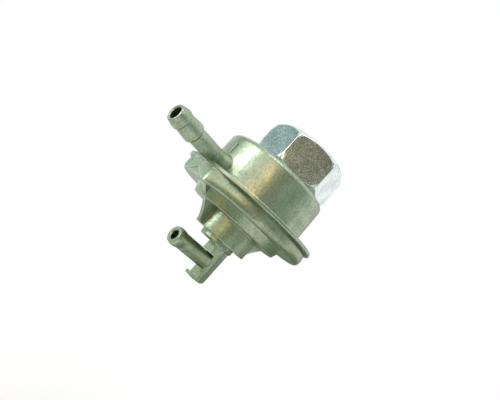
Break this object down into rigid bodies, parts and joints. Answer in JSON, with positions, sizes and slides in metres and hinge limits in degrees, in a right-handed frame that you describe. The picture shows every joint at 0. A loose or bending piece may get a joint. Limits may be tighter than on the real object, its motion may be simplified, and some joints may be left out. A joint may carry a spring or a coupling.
{
  "type": "vacuum fuel tap",
  "caption": "Vacuum fuel tap for a small scooter: zinc die cast body with barbed fuel nozzle and union nut, over a ribbed vacuum cover with its own nozzle",
  "frame": {"origin": "on the union nut's axis, at the middle of its thread wall", "axes": "+Z along the nut's axis towards the tank, -Y the way both nozzles point, X across"},
  "size_m": [0.043, 0.0575, 0.0492],
  "materials": {
    "cast_body": "satin as-cast zinc alloy",
    "cast_cover": "satin as-cast zinc alloy",
    "plated_nut": "bright zinc plating over rolled hexagon bar",
    "turned_brass": "turned",
    "seal_rubber": "smooth nitrile rubber",
    "washer_fibre": "dense red fibre",
    "strainer_plastic": "natural nylon",
    "strainer_mesh": "fine woven gauze",
    "diaphragm_rubber": "fabric-backed fluoro rubber",
    "plate_steel": "stamped and plated",
    "rivet_aluminium": "turned",
    "spring_steel": "drawn wire"
  },
  "bodies": {
    "housing": {"tap_body": "cast_body", "vacuum_cover": "cast_cover", "inlet_sleeve": "turned_brass", "sleeve_seal_ring": "seal_rubber", "inlet_washer": "washer_fibre", "strainer_frame": "strainer_plastic", "strainer_gauze": "strainer_mesh", "valve_seat": "turned_brass", "diaphragm": "diaphragm_rubber", "return_spring": "spring_steel", "spring_seat_washer": "plate_steel", "guide_bush": "turned_brass"},
    "nut": {"union_nut": "plated_nut"},
    "valve": {"upper_plate": "plate_steel", "lower_plate": "plate_steel", "valve_rivet": "rivet_aluminium", "valve_seal": "seal_rubber", "stem_clip": "plate_steel"}
  },
  "joints": [
    {"name": "nut_turn", "type": "hinge", "parent": "housing", "child": "nut", "pos_m": [0, 0, 0], "axis": [0, 0, 1], "continuous": true},
    {"name": "valve_lift", "type": "slide", "parent": "housing", "child": "valve", "axis": [0, 0, -1], "range_m": [0, 0.0015], "stiffness_N_per_m": 400, "springref_m": -0.002, "deforming": ["return_spring", "diaphragm"]}
  ]
}
